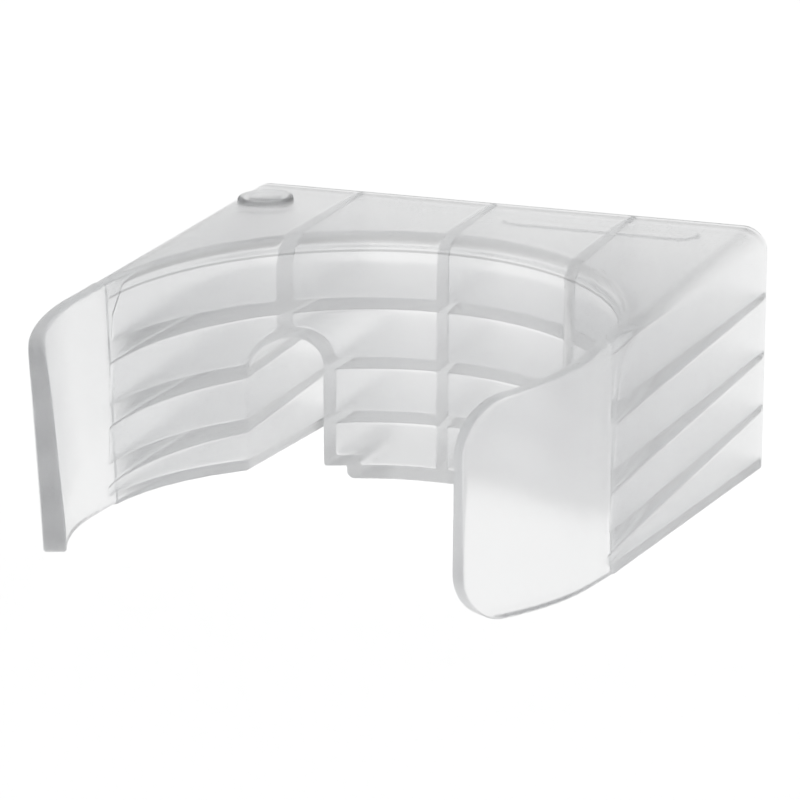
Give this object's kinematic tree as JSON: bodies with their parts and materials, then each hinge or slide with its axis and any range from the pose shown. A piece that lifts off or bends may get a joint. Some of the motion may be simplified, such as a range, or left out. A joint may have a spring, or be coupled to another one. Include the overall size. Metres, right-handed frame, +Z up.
{
  "type": "clip-on blade guard",
  "caption": "Frosted translucent U-shaped clip-on guard: ribbed open-backed box around a half-round cradle with two springy curled wings and an arched tunnel.",
  "frame": {"origin": "centre of the bounding box in plan, on the plane of the centre floor's underside", "axes": "+Z up, +Y to the open ribbed rear, -Y out of the cradle mouth, +X to the right seen from the mouth"},
  "size_m": [0.12, 0.1292, 0.0553],
  "materials": {
    "frosted_clear": "fine satin, frosted, see-through only for things close behind it",
    "clear_gloss": "polished"
  },
  "bodies": {
    "shell": {"blank_pad": "clear_gloss", "cable_tunnel": "frosted_clear", "cradle_rim": "frosted_clear", "cradle_wall": "frosted_clear", "floor_centre": "frosted_clear", "floor_left": "frosted_clear", "floor_right": "frosted_clear", "rib_lower_inner_left": "frosted_clear", "rib_lower_inner_right": "frosted_clear", "rib_lower_outer_left": "frosted_clear", "rib_lower_outer_right": "frosted_clear", "rib_middle_inner_left": "frosted_clear", "rib_middle_inner_right": "frosted_clear", "rib_middle_outer_left": "frosted_clear", "rib_middle_outer_right": "frosted_clear", "rib_upper_inner_left": "frosted_clear", "rib_upper_inner_right": "frosted_clear", "rib_upper_outer_left": "frosted_clear", "rib_upper_outer_right": "frosted_clear", "round_boss": "clear_gloss", "side_wall_left": "frosted_clear", "side_wall_right": "frosted_clear", "top_plate": "frosted_clear", "web_left": "frosted_clear", "web_middle": "frosted_clear", "web_right": "frosted_clear"},
    "left_wing": {"wing_left": "frosted_clear"},
    "right_wing": {"wing_right": "frosted_clear"}
  },
  "joints": [
    {"name": "left_wing_flex", "type": "hinge", "parent": "shell", "child": "left_wing", "pos_m": [-0.0546, -0.01885, 0.03], "axis": [0, 0, -1], "range_deg": [0, 16], "stiffness_Nm_per_rad": 2.6},
    {"name": "right_wing_flex", "type": "hinge", "parent": "shell", "child": "right_wing", "pos_m": [0.0546, -0.01885, 0.03], "axis": [0, 0, 1], "range_deg": [0, 16], "stiffness_Nm_per_rad": 2.6}
  ]
}
